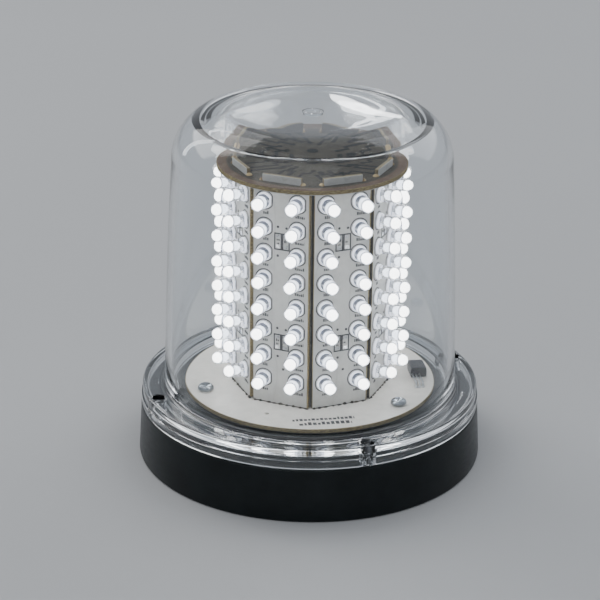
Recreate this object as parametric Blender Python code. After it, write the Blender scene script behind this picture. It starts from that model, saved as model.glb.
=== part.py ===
"""All-round LED navigation beacon: black round base, clear screwed-on dome, octagonal column
of eight boards with 128 LEDs between two round boards.

Units in the constants are millimetres. The frame has +Z up, with its origin at the centre of
the base's underside, on the axis of the lamp. A bearing is an angle seen from above, 0 at the
front (-Y) and growing towards the right (+X).
"""

import math

import bmesh
import bpy
from mathutils import Matrix, Vector

MM = 0.001
GAP = 0.3  # clearance between neighbouring solids

ROUND_STEPS = 40  # sides of the large turned pieces
SMALL_STEPS = 10  # sides of holes, bosses and small turned pieces
SCREW_SIDES = 8

# Base housing
BASE_FOOT_RADIUS = 66.5
BASE_TOP_RADIUS = 65.4
BASE_DECK_TOP = 20.6
BASE_DECK_UNDER = 17.6
BASE_WALL_INNER = 60.0
BASE_EDGE = 1.0
PLATEAU_RADIUS = 52.5
PLATEAU_INNER = 49.0
PLATEAU_TOP = 27.2
PLATEAU_UNDER = 24.2
SEAL_GROOVE_BOTTOM = 22.4
SEAL_GROOVE_TOP = 25.2
SEAL_GROOVE_RADIUS = 51.0
SEAL_MINOR = 1.05
GASKET_INNER = 60.9
GASKET_OUTER = 64.3
GASKET_DEPTH = 2.0

# Closing plate under the base
PLATE_RADIUS = 59.6
PLATE_BOTTOM = 1.5
PLATE_TOP = 4.5
PLATE_SCREW_RADIUS = 53.0
PLATE_SCREW_BEARINGS = (45.0, 135.0, 225.0, 315.0)
INSERT_RADIUS = 40.0
INSERT_BEARINGS = (0.0, 120.0, 240.0)
INSERT_BODY = 4.5
INSERT_FLANGE = 6.0
INSERT_BORE = 2.5
INSERT_TOP = 10.0
CABLE_HOLE = 4.0
GROMMET_NECK = 6.7
GROMMET_FLANGE = 9.5

# Dome
DOME_SKIRT_BOTTOM = 20.9
DOME_SKIRT_OUTER = 65.3
DOME_SKIRT_INNER = 62.8
DOME_SHELF_TOP = 28.5
DOME_SHELF_UNDER = 25.6
DOME_FOOT_OUTER = 56.2
DOME_FOOT_INNER = 53.8
DOME_TOP = 136.7
DOME_SHOULDER = 19.0
DOME_WALL = 2.4
DOME_DRAFT = 1.9  # loss of radius over the dome's height, straight part
DOME_BARREL = 1.75  # loss of radius over the dome's height, curved part
CROWN_THICKNESS = 4.2  # the flat top is thicker than the wall
CROWN_FLAT_RADIUS = 30.2
CROWN_BEND = 13.7
CROWN_BEND_TURN = 42.0  # degrees, from level down to the ridge
THIN_FROM = 50.0  # degrees above level where the thin shoulder starts
POST_CIRCLE = 61.0
POST_RADIUS = 3.1
POST_BEARINGS = (20.0, 110.0, 200.0, 290.0)
POST_COUNTERBORE = 2.4
POST_COUNTERBORE_BOTTOM = 25.0
POST_BORE = 1.6

# Boards
BOARD_THICK = 1.6
BOTTOM_BOARD_RADIUS = 48.5
BOTTOM_BOARD_TOP = 29.2
BOARD_SCREW_CIRCLE = 42.0
BOARD_SCREW_BEARINGS = (52.0, 171.0, 290.0)
BOARD_DOT_CIRCLE = 38.7
BOARD_DOT_BEARING = -24.0
TOP_BOARD_RADIUS = 35.6
TOP_BOARD_UNDER = 115.2
COLUMN_SIDES = 8
COLUMN_APOTHEM = 28.9  # to the outer faces of the LED boards
COLUMN_HALF_WIDTH = 11.15
TOP_TAB_HALF = 7.5
TOP_TAB_RISE = 2.5
FOOT_TAB_HALF = 5.0

# LEDs
LED_ROWS = 8
LED_ROW_PITCH = 10.0
LED_FIRST_ROW = 39.5
LED_COLUMN_OFFSET = 6.5
LED_SIDES = 6
LED_FLANGE_RADIUS = 2.9
LED_NOSE_RADIUS = 1.3
LED_BARREL_RADIUS = 2.5
LED_BARREL = 6.1
LED_LENGTH = 8.6
LEG_WIDTH = 2.4
LEG_HEIGHT = 0.8
RAIL_WIDTH = 3.0
RAIL_THICK = 0.5

# Regulator, lying on the bottom board
REGULATOR_X = 42.4
REGULATOR_Y = -1.5
REGULATOR_TURN = 6.5  # degrees
REGULATOR_WIDTH = 6.3
REGULATOR_LENGTH = 8.0
REGULATOR_HEIGHT = 4.0
REGULATOR_LEAD_PITCH = 1.55
REGULATOR_LEAD_REACH = 8.6
REGULATOR_LEAD_SIZE = 0.6
REGULATOR_LEAD_Z = 31.0

# Driver board inside the base
DRIVER_HALF_X = 27.0
DRIVER_HALF_Y = 18.0
DRIVER_UNDER = 12.0
DRIVER_POST_X = 23.0
DRIVER_POST_Y = 13.0

MATERIALS = {
    # name: (base colour, roughness, metallic)
    "black_plastic": ((0.012, 0.013, 0.015), 0.42, 0.0),
    "clear_plastic": ((0.86, 0.89, 0.92), 0.04, 0.0),
    "white_board": ((0.84, 0.83, 0.79), 0.45, 0.0),
    "led_epoxy": ((0.95, 0.96, 1.0), 0.08, 0.0),
    "zinc_screw": ((0.56, 0.58, 0.6), 0.32, 1.0),
    "dark_screw": ((0.05, 0.052, 0.055), 0.4, 0.9),
    "brass": ((0.78, 0.57, 0.23), 0.3, 1.0),
    "rubber": ((0.02, 0.02, 0.021), 0.75, 0.0),
    "black_component": ((0.018, 0.018, 0.02), 0.3, 0.0),
    "green_board": ((0.03, 0.16, 0.07), 0.4, 0.0),
    "green_terminal": ((0.05, 0.32, 0.12), 0.45, 0.0),
}


def clear_scene():
    for item in list(bpy.data.objects):
        bpy.data.objects.remove(item, do_unlink=True)


def material(name):
    found = bpy.data.materials.get(name)
    if found:
        return found
    colour, roughness, metallic = MATERIALS[name]
    made = bpy.data.materials.new(name)
    made.use_nodes = True
    shader = made.node_tree.nodes["Principled BSDF"]
    shader.inputs["Base Color"].default_value = (*colour, 1.0)
    shader.inputs["Roughness"].default_value = roughness
    shader.inputs["Metallic"].default_value = metallic
    made.diffuse_color = (*colour, 1.0)
    return made


def bearing_point(radius, bearing, z=0.0):
    angle = math.radians(bearing)
    return Vector((radius * math.sin(angle), -radius * math.cos(angle), z))


def mesh_from(bm, name):
    bmesh.ops.recalc_face_normals(bm, faces=bm.faces)
    bmesh.ops.scale(bm, vec=(MM, MM, MM), verts=bm.verts)
    mesh = bpy.data.meshes.new(name)
    bm.to_mesh(mesh)
    bm.free()
    return mesh


def place(name, mesh, material_name, at=(0.0, 0.0, 0.0), turn=0.0):
    """Adds an object at a point given in millimetres, turned about +Z by degrees."""
    item = bpy.data.objects.new(name, mesh)
    item.location = Vector(at) * MM
    item.rotation_euler = (0.0, 0.0, math.radians(turn))
    bpy.context.scene.collection.objects.link(item)
    if material_name and not mesh.materials:
        mesh.materials.append(material(material_name))
    return item


def smooth(item, angle=35.0):
    item.data.shade_smooth()
    item.data.set_sharp_from_angle(angle=math.radians(angle))


def add_turned(bm, profile, steps, centre=(0.0, 0.0), start=0.0):
    """Turns a profile of (radius, z) points about a vertical axis. A profile whose ends lie on
    the axis is closed by them, any other is closed on itself."""
    rings = []
    for radius, z in profile:
        if radius < 1e-6:
            rings.append([bm.verts.new((centre[0], centre[1], z))])
            continue
        ring = []
        for step in range(steps):
            angle = start + 2.0 * math.pi * step / steps
            x = centre[0] + radius * math.cos(angle)
            y = centre[1] + radius * math.sin(angle)
            ring.append(bm.verts.new((x, y, z)))
        rings.append(ring)
    pairs = list(zip(rings, rings[1:]))
    if len(rings[0]) > 1:
        pairs.append((rings[-1], rings[0]))
    for lower, upper in pairs:
        for step in range(steps):
            after = (step + 1) % steps
            if len(lower) == 1 and len(upper) == 1:
                continue
            if len(lower) == 1:
                bm.faces.new((lower[0], upper[step], upper[after]))
            elif len(upper) == 1:
                bm.faces.new((lower[step], lower[after], upper[0]))
            else:
                bm.faces.new((lower[step], lower[after], upper[after], upper[step]))


def add_cylinder(bm, x, y, radius, z0, z1, steps):
    add_turned(bm, [(0.0, z0), (radius, z0), (radius, z1), (0.0, z1)], steps, (x, y))


def add_box(bm, centre, size, turn=0.0):
    matrix = Matrix.Translation(centre) @ Matrix.Rotation(math.radians(turn), 4, "Z")
    matrix = matrix @ Matrix.Diagonal((size[0], size[1], size[2], 1.0))
    bmesh.ops.create_cube(bm, size=1.0, matrix=matrix)


def turned(name, profile, material_name, steps=ROUND_STEPS, at=(0.0, 0.0, 0.0), turn=0.0):
    bm = bmesh.new()
    add_turned(bm, profile, steps)
    item = place(name, mesh_from(bm, name), material_name, at, turn)
    smooth(item)
    return item


def boolean(item, bm, name, operation):
    """Joins the tool bodies in bm to an object, or cuts them out of it."""
    tool = place(name, mesh_from(bm, name), None)
    tool.hide_render = True
    tool.display_type = "WIRE"
    modifier = item.modifiers.new(name, "BOOLEAN")
    modifier.object = tool
    modifier.operation = operation
    modifier.solver = "EXACT"


def settle(item):
    """Replaces an object's mesh by its evaluated one, so that copies can share it."""
    bpy.context.view_layer.update()
    graph = bpy.context.evaluated_depsgraph_get()
    mesh = bpy.data.meshes.new_from_object(item.evaluated_get(graph))
    mesh.name = item.name
    tools = [m.object for m in item.modifiers]
    item.modifiers.clear()
    item.data = mesh
    for tool in tools:
        bpy.data.objects.remove(tool, do_unlink=True)
    return mesh


# ---------------------------------------------------------------- base


def base_housing():
    draft = (BASE_FOOT_RADIUS - BASE_TOP_RADIUS) / BASE_DECK_TOP
    edge_top = BASE_DECK_TOP - 0.5
    profile = [
        (BASE_WALL_INNER, 0.0),
        (GASKET_INNER, 0.0),
        (GASKET_INNER, GASKET_DEPTH),
        (GASKET_OUTER, GASKET_DEPTH),
        (GASKET_OUTER, 0.0),
        (BASE_FOOT_RADIUS - BASE_EDGE, 0.0),
        (BASE_FOOT_RADIUS, BASE_EDGE),
        (BASE_FOOT_RADIUS - draft * edge_top, edge_top),
        (BASE_TOP_RADIUS - 0.5, BASE_DECK_TOP),
        (PLATEAU_RADIUS, BASE_DECK_TOP),
        (PLATEAU_RADIUS, SEAL_GROOVE_BOTTOM),
        (SEAL_GROOVE_RADIUS, SEAL_GROOVE_BOTTOM),
        (SEAL_GROOVE_RADIUS, SEAL_GROOVE_TOP),
        (PLATEAU_RADIUS, SEAL_GROOVE_TOP),
        (PLATEAU_RADIUS, PLATEAU_TOP - 0.5),
        (PLATEAU_RADIUS - 0.5, PLATEAU_TOP),
        (0.0, PLATEAU_TOP),
        (0.0, PLATEAU_UNDER),
        (PLATEAU_INNER, PLATEAU_UNDER),
        (PLATEAU_INNER, BASE_DECK_UNDER),
        (BASE_WALL_INNER, BASE_DECK_UNDER),
    ]
    # The profile starts and ends off the axis and crosses it between the plateau's two faces,
    # so it is turned from the axis outwards.
    centre = profile.index((0.0, PLATEAU_TOP))
    ordered = profile[centre + 1 :] + profile[: centre + 1]
    housing = turned("base_housing", ordered, "black_plastic")

    bosses = bmesh.new()
    for bearing in POST_BEARINGS:
        x, y, _ = bearing_point(POST_CIRCLE, bearing)
        add_cylinder(bosses, x, y, 3.9, 10.5, BASE_DECK_UNDER + 1.5, SMALL_STEPS)
    for bearing in PLATE_SCREW_BEARINGS:
        x, y, _ = bearing_point(PLATE_SCREW_RADIUS, bearing)
        add_cylinder(bosses, x, y, 3.2, PLATE_TOP + GAP, BASE_DECK_UNDER + 1.5, SMALL_STEPS)
    for bearing in BOARD_SCREW_BEARINGS:
        x, y, _ = bearing_point(BOARD_SCREW_CIRCLE, bearing)
        add_cylinder(bosses, x, y, 3.2, 15.5, PLATEAU_UNDER + 1.5, SMALL_STEPS)
    for side in (-1.0, 1.0):
        x, y = side * DRIVER_POST_X, side * DRIVER_POST_Y
        z = DRIVER_UNDER + BOARD_THICK + GAP
        add_cylinder(bosses, x, y, 3.0, z, PLATEAU_UNDER + 1.5, SMALL_STEPS)
    boolean(housing, bosses, "tool_base_bosses", "UNION")

    holes = bmesh.new()
    for bearing in POST_BEARINGS:
        x, y, _ = bearing_point(POST_CIRCLE, bearing)
        add_cylinder(holes, x, y, POST_BORE, 12.0, BASE_DECK_TOP + 1.0, SMALL_STEPS)
    for bearing in PLATE_SCREW_BEARINGS:
        x, y, _ = bearing_point(PLATE_SCREW_RADIUS, bearing)
        add_cylinder(holes, x, y, 1.5, PLATE_TOP - 1.0, 15.0, SMALL_STEPS)
    for bearing in BOARD_SCREW_BEARINGS:
        x, y, _ = bearing_point(BOARD_SCREW_CIRCLE, bearing)
        add_cylinder(holes, x, y, 1.6, 17.0, PLATEAU_TOP + 1.0, SMALL_STEPS)
    for side in (-1.0, 1.0):
        x, y = side * DRIVER_POST_X, side * DRIVER_POST_Y
        add_cylinder(holes, x, y, 1.5, DRIVER_UNDER, 22.0, SMALL_STEPS)
    # Wires rise from the driver board through this hole.
    add_cylinder(holes, 0.0, 0.0, 4.5, PLATEAU_UNDER - 1.0, PLATEAU_TOP + 1.0, SMALL_STEPS)
    boolean(housing, holes, "tool_base_holes", "DIFFERENCE")
    return housing


def base_gasket():
    profile = [
        (GASKET_INNER + GAP, 0.0),
        (GASKET_OUTER - GAP, 0.0),
        (GASKET_OUTER - GAP, GASKET_DEPTH - GAP),
        (GASKET_INNER + GAP, GASKET_DEPTH - GAP),
    ]
    return turned("base_gasket", profile, "rubber")


def base_plate():
    profile = [
        (0.0, PLATE_BOTTOM),
        (PLATE_RADIUS, PLATE_BOTTOM),
        (PLATE_RADIUS, PLATE_TOP),
        (0.0, PLATE_TOP),
    ]
    plate = turned("base_plate", profile, "black_plastic")
    holes = bmesh.new()
    below, above = PLATE_BOTTOM - 1.0, PLATE_TOP + 1.0
    add_cylinder(holes, 0.0, 0.0, GROMMET_NECK + GAP, below, above, 24)
    for bearing in INSERT_BEARINGS:
        x, y, _ = bearing_point(INSERT_RADIUS, bearing)
        add_cylinder(holes, x, y, INSERT_BODY + GAP, below, above, SMALL_STEPS)
    for bearing in PLATE_SCREW_BEARINGS:
        x, y, _ = bearing_point(PLATE_SCREW_RADIUS, bearing)
        # A counterbore for the head, and the clearance hole above it.
        profile = [(0.0, below), (2.9, below), (2.9, 3.0), (1.6, 3.0), (1.6, above), (0.0, above)]
        add_turned(holes, profile, SMALL_STEPS, (x, y))
    boolean(plate, holes, "tool_plate_holes", "DIFFERENCE")
    return plate


def cable_grommet():
    lower, upper = PLATE_BOTTOM - GAP, PLATE_TOP + GAP
    profile = [
        (CABLE_HOLE, 0.2),
        (GROMMET_FLANGE, 0.2),
        (GROMMET_FLANGE, lower),
        (GROMMET_NECK, lower),
        (GROMMET_NECK, upper),
        (GROMMET_FLANGE, upper),
        (GROMMET_FLANGE - 0.8, upper + 1.5),
        (CABLE_HOLE, upper + 1.5),
    ]
    return turned("cable_grommet", profile, "rubber", 24)


def mount_inserts():
    flange = PLATE_TOP + GAP
    profile = [
        (0.0, INSERT_TOP - 1.2),
        (INSERT_BORE, INSERT_TOP - 1.2),
        (INSERT_BORE, 0.0),
        (INSERT_BODY, 0.0),
        (INSERT_BODY, flange),
        (INSERT_FLANGE, flange),
        (INSERT_FLANGE, flange + 1.8),
        (INSERT_BODY, flange + 1.8),
        (INSERT_BODY, INSERT_TOP),
        (0.0, INSERT_TOP),
    ]
    bm = bmesh.new()
    add_turned(bm, profile, SMALL_STEPS)
    mesh = mesh_from(bm, "mount_insert")
    for number, bearing in enumerate(INSERT_BEARINGS, 1):
        at = bearing_point(INSERT_RADIUS, bearing)
        smooth(place(f"mount_insert_{number}", mesh, "brass", at))


# ---------------------------------------------------------------- screws


def screw_mesh(name, shank, length, head, rise, recess, upward=True):
    """A screw whose head rests on z = 0. recess is a list of turns in degrees, one slot each."""
    sign = 1.0 if upward else -1.0
    profile = [
        (0.0, -length * sign),
        (shank, -length * sign),
        (shank, 0.0),
        (head, 0.0),
        (head * 0.8, rise * sign),
        (0.0, rise * sign),
    ]
    bm = bmesh.new()
    add_turned(bm, profile, SCREW_SIDES, start=math.pi / SCREW_SIDES)
    item = place(name, mesh_from(bm, name), None)
    for index, turn in enumerate(recess):
        # Crossed slots overlap, so each is a tool of its own, and the second is a little deeper.
        slot = bmesh.new()
        size = (head * 1.05, 0.7, rise * 0.9 + 0.1 * index)
        add_box(slot, (0.0, 0.0, rise * sign), size, turn)
        boolean(item, slot, f"tool_{name}_{index}", "DIFFERENCE")
    mesh = settle(item)
    bpy.data.objects.remove(item, do_unlink=True)
    return mesh


def screws():
    dome = screw_mesh("dome_screw", 1.3, 11.5, 2.1, 1.7, (0.0,))
    for number, bearing in enumerate(POST_BEARINGS, 1):
        at = bearing_point(POST_CIRCLE, bearing, POST_COUNTERBORE_BOTTOM + GAP)
        smooth(place(f"dome_screw_{number}", dome, "dark_screw", at, 45.0 + 90.0 * (number % 2)))
    board = screw_mesh("board_screw", 1.3, 11.0, 3.0, 2.1, (20.0, 110.0))
    for number, bearing in enumerate(BOARD_SCREW_BEARINGS, 1):
        at = bearing_point(BOARD_SCREW_CIRCLE, bearing, BOTTOM_BOARD_TOP + GAP)
        smooth(place(f"board_screw_{number}", board, "zinc_screw", at, bearing))
    plate = screw_mesh("plate_screw", 1.2, 10.5, 2.6, 1.6, (), upward=False)
    for number, bearing in enumerate(PLATE_SCREW_BEARINGS, 1):
        at = bearing_point(PLATE_SCREW_RADIUS, bearing, 3.0 - GAP)
        smooth(place(f"plate_screw_{number}", plate, "zinc_screw", at))
    driver = screw_mesh("driver_screw", 1.2, 7.5, 2.6, 1.8, (), upward=False)
    for number, side in enumerate((-1.0, 1.0), 1):
        at = (side * DRIVER_POST_X, side * DRIVER_POST_Y, DRIVER_UNDER - GAP)
        smooth(place(f"driver_screw_{number}", driver, "zinc_screw", at))


# ---------------------------------------------------------------- dome


def dome_radius(z):
    rise = (z - DOME_SHELF_TOP) / 90.0
    return DOME_FOOT_OUTER - DOME_DRAFT * rise - DOME_BARREL * rise * rise


def dome_lens():
    shoulder_z = DOME_TOP - DOME_SHOULDER
    shoulder_r = dome_radius(shoulder_z) - DOME_SHOULDER
    outer = [
        (DOME_SKIRT_INNER, DOME_SKIRT_BOTTOM),
        (DOME_SKIRT_OUTER, DOME_SKIRT_BOTTOM),
        (DOME_SKIRT_OUTER, 24.1),
        (DOME_SKIRT_OUTER - 0.25, 24.5),
        (DOME_SKIRT_OUTER - 0.5, DOME_SHELF_TOP - 0.4),
        (DOME_SKIRT_OUTER - 0.9, DOME_SHELF_TOP),
        (DOME_FOOT_OUTER + 1.6, DOME_SHELF_TOP),
        (DOME_FOOT_OUTER + 0.1, DOME_SHELF_TOP + 1.4),
    ]
    for z in (60.0, 92.0):
        outer.append((dome_radius(z), z))
    arc = 5
    for step in range(arc + 1):
        angle = 0.5 * math.pi * step / arc
        radius = shoulder_r + DOME_SHOULDER * math.cos(angle)
        outer.append((radius, shoulder_z + DOME_SHOULDER * math.sin(angle)))
    outer.append((0.0, DOME_TOP))
    crown_under = DOME_TOP - CROWN_THICKNESS
    inner = [(0.0, crown_under)]
    arc = 3
    for step in range(arc + 1):
        angle = math.radians(90.0 - CROWN_BEND_TURN * step / arc)
        radius = CROWN_FLAT_RADIUS + CROWN_BEND * math.cos(angle)
        inner.append((radius, crown_under - CROWN_BEND * (1.0 - math.sin(angle))))
    # The crown ends in a low ridge, where the thinner shoulder starts.
    inner_shoulder = DOME_SHOULDER - DOME_WALL
    arc = 3
    for step in range(arc, -1, -1):
        angle = math.radians(THIN_FROM * step / arc)
        radius = shoulder_r + inner_shoulder * math.cos(angle)
        inner.append((radius, shoulder_z + inner_shoulder * math.sin(angle)))
    inner.append((dome_radius(78.0) - DOME_WALL, 78.0))
    inner.append((DOME_FOOT_INNER, DOME_SHELF_TOP))
    inner.append((DOME_FOOT_INNER, DOME_SKIRT_BOTTOM))
    inner.append((DOME_FOOT_OUTER + 0.4, DOME_SKIRT_BOTTOM))
    inner.append((DOME_FOOT_OUTER + 0.4, DOME_SHELF_UNDER))
    inner.append((DOME_SKIRT_INNER, DOME_SHELF_UNDER))
    # The profile crosses the axis at the dome's two crowns, so it is turned from there.
    lens = turned("dome_lens", inner + outer, "clear_plastic")

    posts = bmesh.new()
    for bearing in POST_BEARINGS:
        x, y, _ = bearing_point(POST_CIRCLE, bearing)
        z0, z1 = DOME_SKIRT_BOTTOM + 0.3, DOME_SHELF_TOP - 1.2
        add_cylinder(posts, x, y, POST_RADIUS, z0, z1, SMALL_STEPS)
    boolean(lens, posts, "tool_dome_posts", "UNION")

    holes = bmesh.new()
    for bearing in POST_BEARINGS:
        x, y, _ = bearing_point(POST_CIRCLE, bearing)
        below, above = DOME_SKIRT_BOTTOM - 1.0, DOME_SHELF_TOP + 1.0
        profile = [
            (0.0, below),
            (POST_BORE, below),
            (POST_BORE, POST_COUNTERBORE_BOTTOM),
            (POST_COUNTERBORE, POST_COUNTERBORE_BOTTOM),
            (POST_COUNTERBORE, above),
            (0.0, above),
        ]
        add_turned(holes, profile, SMALL_STEPS, (x, y))
    boolean(lens, holes, "tool_dome_holes", "DIFFERENCE")
    return lens


def dome_seal():
    centre_r = PLATEAU_RADIUS + 0.1
    centre_z = 0.5 * (SEAL_GROOVE_BOTTOM + SEAL_GROOVE_TOP)
    profile = []
    for step in range(4):
        angle = 0.5 * math.pi * step
        radius = centre_r + SEAL_MINOR * math.cos(angle)
        profile.append((radius, centre_z + SEAL_MINOR * math.sin(angle)))
    return turned("dome_seal", profile, "rubber")


# ---------------------------------------------------------------- boards


def column_bearings():
    return [(side + 0.5) * 360.0 / COLUMN_SIDES for side in range(COLUMN_SIDES)]


def round_board(name, radius, under):
    profile = [
        (0.0, under),
        (radius, under),
        (radius, under + BOARD_THICK),
        (0.0, under + BOARD_THICK),
    ]
    return turned(name, profile, "white_board")


def tab_slots(bm, half_width, middle_z):
    """One slot for each LED board's tab."""
    middle = COLUMN_APOTHEM - 0.5 * BOARD_THICK
    size = (2.0 * (half_width + GAP), BOARD_THICK + 2.0 * GAP, 4.0)
    for bearing in column_bearings():
        at = bearing_point(middle, bearing, middle_z)
        add_box(bm, at, size, bearing)


def regulator_matrix():
    move = Matrix.Translation((REGULATOR_X, REGULATOR_Y, 0.0))
    return move @ Matrix.Rotation(math.radians(REGULATOR_TURN), 4, "Z")


def lead_offsets():
    return [REGULATOR_LEAD_PITCH * step for step in (-1, 0, 1)]


def bottom_board():
    under = BOTTOM_BOARD_TOP - BOARD_THICK
    board = round_board("bottom_board", BOTTOM_BOARD_RADIUS, under)
    holes = bmesh.new()
    below, above = under - 1.0, BOTTOM_BOARD_TOP + 1.0
    for bearing in BOARD_SCREW_BEARINGS:
        x, y, _ = bearing_point(BOARD_SCREW_CIRCLE, bearing)
        add_cylinder(holes, x, y, 1.7, below, above, SMALL_STEPS)
    x, y, _ = bearing_point(BOARD_DOT_CIRCLE, BOARD_DOT_BEARING)
    add_cylinder(holes, x, y, 0.6, below, above, 8)
    add_cylinder(holes, 0.0, 0.0, 4.5, below, above, SMALL_STEPS)
    for offset in lead_offsets():
        foot = regulator_matrix() @ Vector((offset, -REGULATOR_LEAD_REACH, 0.0))
        add_cylinder(holes, foot.x, foot.y, 0.65, below, above, 8)
    tab_slots(holes, FOOT_TAB_HALF, 0.5 * (below + above))
    boolean(board, holes, "tool_bottom_board", "DIFFERENCE")
    return board


def top_board():
    board = round_board("top_board", TOP_BOARD_RADIUS, TOP_BOARD_UNDER)
    slots = bmesh.new()
    tab_slots(slots, TOP_TAB_HALF, TOP_BOARD_UNDER + 0.5 * BOARD_THICK)
    boolean(board, slots, "tool_top_board", "DIFFERENCE")
    return board


def led_boards():
    foot, head = BOTTOM_BOARD_TOP + GAP, TOP_BOARD_UNDER - GAP
    foot_tab = BOTTOM_BOARD_TOP - BOARD_THICK + GAP
    head_tab = TOP_BOARD_UNDER + BOARD_THICK + TOP_TAB_RISE
    half = [
        (FOOT_TAB_HALF, foot_tab),
        (FOOT_TAB_HALF, foot),
        (COLUMN_HALF_WIDTH, foot),
        (COLUMN_HALF_WIDTH, head),
        (TOP_TAB_HALF, head),
        (TOP_TAB_HALF, head_tab),
    ]
    outline = half + [(-x, z) for x, z in reversed(half)]
    bm = bmesh.new()
    front = [bm.verts.new((x, -COLUMN_APOTHEM, z)) for x, z in outline]
    back = [bm.verts.new((x, -COLUMN_APOTHEM + BOARD_THICK, z)) for x, z in outline]
    bm.faces.new(front)
    bm.faces.new(list(reversed(back)))
    for index in range(len(outline)):
        after = (index + 1) % len(outline)
        bm.faces.new((front[index], front[after], back[after], back[index]))
    item = place("led_board", mesh_from(bm, "led_board"), None)
    holes = bmesh.new()
    middle = -COLUMN_APOTHEM + 0.5 * BOARD_THICK
    size = (LEG_WIDTH + 2.0 * GAP, 4.0, LEG_HEIGHT + 2.0 * GAP)
    for side in (-1.0, 1.0):
        for row in range(LED_ROWS):
            z = LED_FIRST_ROW + LED_ROW_PITCH * row
            add_box(holes, (side * LED_COLUMN_OFFSET, middle, z), size)
    boolean(item, holes, "tool_led_board", "DIFFERENCE")
    mesh = settle(item)
    bpy.data.objects.remove(item, do_unlink=True)
    for number, bearing in enumerate(column_bearings(), 1):
        place(f"led_board_{number}", mesh, "white_board", turn=bearing)


def led_strings():
    """A string is one column of eight LEDs, joined behind its board by their soldered legs."""
    face = -COLUMN_APOTHEM - GAP
    rear = -COLUMN_APOTHEM + BOARD_THICK + GAP
    heights = [LED_FIRST_ROW + LED_ROW_PITCH * row for row in range(LED_ROWS)]
    middle_z = 0.5 * (heights[0] + heights[-1])
    length = heights[-1] - heights[0] + 3.0

    bm = bmesh.new()
    add_box(bm, (0.0, rear + 0.5 * RAIL_THICK, middle_z), (RAIL_WIDTH, RAIL_THICK, length))
    item = place("led_string", mesh_from(bm, "led_string"), None)

    legs = bmesh.new()
    leg_from, leg_to = face - 1.0, rear + 0.5 * RAIL_THICK
    for z in heights:
        centre = (0.0, 0.5 * (leg_from + leg_to), z)
        add_box(legs, centre, (LEG_WIDTH, leg_to - leg_from, LEG_HEIGHT))
    boolean(item, legs, "tool_led_legs", "UNION")

    profile = [
        (0.0, 0.0),
        (LED_FLANGE_RADIUS, 0.0),
        (LED_BARREL_RADIUS, LED_BARREL),
        (LED_NOSE_RADIUS, LED_LENGTH),
        (0.0, LED_LENGTH),
    ]
    lamps = bmesh.new()
    for z in heights:
        before = set(lamps.verts)
        add_turned(lamps, profile, LED_SIDES)
        fresh = [v for v in lamps.verts if v not in before]
        # Laid along -Y, with its foot on the board's face.
        matrix = Matrix.Translation((0.0, face, z)) @ Matrix.Rotation(math.radians(90.0), 4, "X")
        bmesh.ops.transform(lamps, matrix=matrix, verts=fresh)
    boolean(item, lamps, "tool_led_lamps", "UNION")
    mesh = settle(item)
    bpy.data.objects.remove(item, do_unlink=True)
    for number, bearing in enumerate(column_bearings(), 1):
        along = Vector((math.cos(math.radians(bearing)), math.sin(math.radians(bearing)), 0.0))
        for letter, side in (("a", -1.0), ("b", 1.0)):
            at = along * (side * LED_COLUMN_OFFSET)
            string = place(f"led_string_{number}{letter}", mesh, "led_epoxy", at, bearing)
            smooth(string, 40.0)


# ---------------------------------------------------------------- parts on the boards


def regulator():
    foot = BOTTOM_BOARD_TOP + GAP
    bm = bmesh.new()
    centre = (0.0, 0.5 * REGULATOR_LENGTH, foot + 0.5 * REGULATOR_HEIGHT)
    add_box(bm, centre, (REGULATOR_WIDTH, REGULATOR_LENGTH, REGULATOR_HEIGHT))
    body = place("regulator", mesh_from(bm, "regulator"), "black_component")
    body.matrix_world = Matrix.Translation((REGULATOR_X * MM, REGULATOR_Y * MM, 0.0))
    body.rotation_euler = (0.0, 0.0, math.radians(REGULATOR_TURN))
    leads = bmesh.new()
    size = REGULATOR_LEAD_SIZE
    foot_z = BOTTOM_BOARD_TOP - BOARD_THICK + GAP
    half = 0.5 * size
    for offset in lead_offsets():
        # An L-shaped lead: out of the body's end, then down through the board.
        path = [
            (1.0, REGULATOR_LEAD_Z - half),
            (1.0, REGULATOR_LEAD_Z + half),
            (-REGULATOR_LEAD_REACH - half, REGULATOR_LEAD_Z + half),
            (-REGULATOR_LEAD_REACH - half, foot_z),
            (-REGULATOR_LEAD_REACH + half, foot_z),
            (-REGULATOR_LEAD_REACH + half, REGULATOR_LEAD_Z - half),
        ]
        left = [leads.verts.new((offset - half, y, z)) for y, z in path]
        right = [leads.verts.new((offset + half, y, z)) for y, z in path]
        leads.faces.new(left)
        leads.faces.new(list(reversed(right)))
        for index in range(len(path)):
            after = (index + 1) % len(path)
            leads.faces.new((left[index], left[after], right[after], right[index]))
    bmesh.ops.transform(leads, matrix=regulator_matrix(), verts=leads.verts)
    boolean(body, leads, "tool_regulator_leads", "UNION")
    return body


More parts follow.
